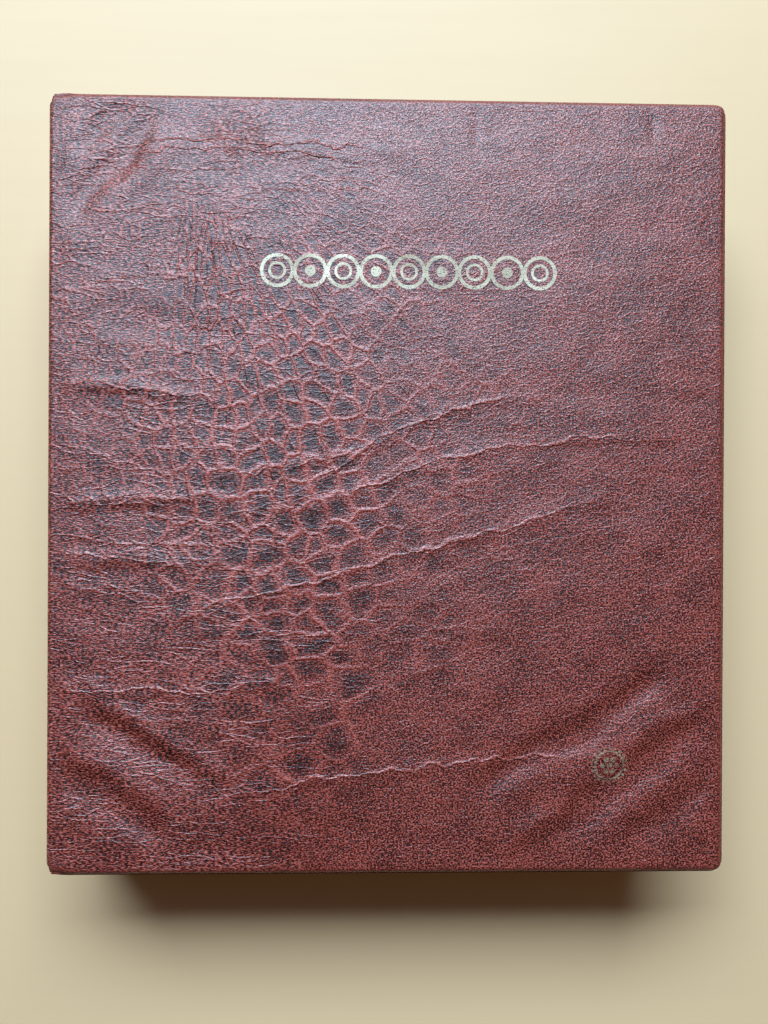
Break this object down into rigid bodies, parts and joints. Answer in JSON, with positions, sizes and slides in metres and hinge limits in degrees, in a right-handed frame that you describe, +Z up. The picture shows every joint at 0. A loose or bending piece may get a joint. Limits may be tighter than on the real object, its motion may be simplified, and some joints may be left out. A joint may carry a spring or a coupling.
{
  "type": "coin_album",
  "caption": "Ring-bound collector album with padded leatherette covers, a four-ring trigger mechanism and clear pocket pages for coins",
  "frame": {"origin": "middle of the footprint, on the outer face of the back cover", "axes": "+Z up through the closed album, +Y to the head, spine at -X and fore-edge at +X"},
  "size_m": [0.24, 0.275, 0.045],
  "materials": {
    "leatherette": "printed and embossed vinyl leatherette, satin, heat welded",
    "lining": "smooth dark red vinyl lining",
    "foam": "soft foam sheet",
    "greyboard": "grey bookbinding board",
    "nickel": "bright nickel-plated steel",
    "foil": "worn hot-stamped cream gold foil",
    "clear_film": "clear soft PVC film with coins in its pockets"
  },
  "bodies": {
    "back_cover": {"back_cover_skin": "leatherette", "back_cover_padding": "foam", "back_cover_board": "greyboard", "back_cover_liner": "lining", "rear_hinge_strip": "leatherette"},
    "spine": {"spine_skin": "leatherette", "spine_padding": "foam", "spine_board": "greyboard", "spine_liner": "lining", "front_hinge_strip": "leatherette", "ring_base_plate": "nickel", "head_rivet": "nickel", "tail_rivet": "nickel"},
    "front_cover": {"front_cover_skin": "leatherette", "front_cover_padding": "foam", "front_cover_board": "greyboard", "front_cover_liner": "lining"},
    "upper_rings": {"upper_blade": "nickel", "upper_half_ring_1": "nickel", "upper_half_ring_2": "nickel", "upper_half_ring_3": "nickel", "upper_half_ring_4": "nickel"},
    "lower_rings": {"lower_blade": "nickel", "lower_half_ring_1": "nickel", "lower_half_ring_2": "nickel", "lower_half_ring_3": "nickel", "lower_half_ring_4": "nickel"},
    "head_lever": {"head_trigger_lever": "nickel"},
    "tail_lever": {"tail_trigger_lever": "nickel"},
    "page_1_leaf": {"page_1": "clear_film"},
    "page_2_leaf": {"page_2": "clear_film"},
    "page_3_leaf": {"page_3": "clear_film"},
    "page_4_leaf": {"page_4": "clear_film"},
    "page_5_leaf": {"page_5": "clear_film"},
    "page_6_leaf": {"page_6": "clear_film"},
    "page_7_leaf": {"page_7": "clear_film"},
    "page_8_leaf": {"page_8": "clear_film"}
  },
  "joints": [
    {"name": "spine_hinge", "type": "hinge", "parent": "back_cover", "child": "spine", "pos_m": [-0.1172, 0, 0.002], "axis": [0, -1, 0], "range_deg": [0, 90]},
    {"name": "front_cover_hinge", "type": "hinge", "parent": "spine", "child": "front_cover", "pos_m": [-0.1172, 0, 0.043], "axis": [0, -1, 0], "range_deg": [0, 90]},
    {"name": "ring_upper_open", "type": "hinge", "parent": "spine", "child": "upper_rings", "pos_m": [-0.1132, 0, 0.0305], "axis": [0, -1, 0], "range_deg": [0, 12]},
    {"name": "ring_lower_open", "type": "hinge", "parent": "spine", "child": "lower_rings", "pos_m": [-0.1132, 0, 0.0145], "axis": [0, -1, 0], "range_deg": [-12, 0]},
    {"name": "head_lever_swing", "type": "hinge", "parent": "spine", "child": "head_lever", "pos_m": [-0.1124, 0.1258, 0.0225], "axis": [0, 0, 1], "range_deg": [0, 24]},
    {"name": "tail_lever_swing", "type": "hinge", "parent": "spine", "child": "tail_lever", "pos_m": [-0.1124, -0.1258, 0.0225], "axis": [0, 0, -1], "range_deg": [0, 24]},
    {"name": "page_1_turn", "type": "hinge", "parent": "spine", "child": "page_1_leaf", "pos_m": [-0.0947, 0, 0.0225], "axis": [0, -1, 0], "range_deg": [0, 90]},
    {"name": "page_2_turn", "type": "hinge", "parent": "spine", "child": "page_2_leaf", "pos_m": [-0.0947, 0, 0.0225], "axis": [0, -1, 0], "range_deg": [0, 90]},
    {"name": "page_3_turn", "type": "hinge", "parent": "spine", "child": "page_3_leaf", "pos_m": [-0.0947, 0, 0.0225], "axis": [0, -1, 0], "range_deg": [0, 90]},
    {"name": "page_4_turn", "type": "hinge", "parent": "spine", "child": "page_4_leaf", "pos_m": [-0.0947, 0, 0.0225], "axis": [0, -1, 0], "range_deg": [0, 90]},
    {"name": "page_5_turn", "type": "hinge", "parent": "spine", "child": "page_5_leaf", "pos_m": [-0.0947, 0, 0.0225], "axis": [0, -1, 0], "range_deg": [-90, 0]},
    {"name": "page_6_turn", "type": "hinge", "parent": "spine", "child": "page_6_leaf", "pos_m": [-0.0947, 0, 0.0225], "axis": [0, -1, 0], "range_deg": [-90, 0]},
    {"name": "page_7_turn", "type": "hinge", "parent": "spine", "child": "page_7_leaf", "pos_m": [-0.0947, 0, 0.0225], "axis": [0, -1, 0], "range_deg": [-90, 0]},
    {"name": "page_8_turn", "type": "hinge", "parent": "spine", "child": "page_8_leaf", "pos_m": [-0.0947, 0, 0.0225], "axis": [0, -1, 0], "range_deg": [-90, 0]}
  ],
  "couplings": [
    {"joint": "ring_lower_open", "follows": "ring_upper_open", "ratio": -1},
    {"joint": "head_lever_swing", "follows": "ring_upper_open", "ratio": 2},
    {"joint": "tail_lever_swing", "follows": "ring_upper_open", "ratio": 2},
    {"joint": "page_1_turn", "follows": "front_cover_hinge", "ratio": 1},
    {"joint": "page_2_turn", "follows": "front_cover_hinge", "ratio": 1},
    {"joint": "page_3_turn", "follows": "front_cover_hinge", "ratio": 1},
    {"joint": "page_4_turn", "follows": "front_cover_hinge", "ratio": 1},
    {"joint": "page_5_turn", "follows": "spine_hinge", "ratio": -1},
    {"joint": "page_6_turn", "follows": "spine_hinge", "ratio": -1},
    {"joint": "page_7_turn", "follows": "spine_hinge", "ratio": -1},
    {"joint": "page_8_turn", "follows": "spine_hinge", "ratio": -1}
  ]
}
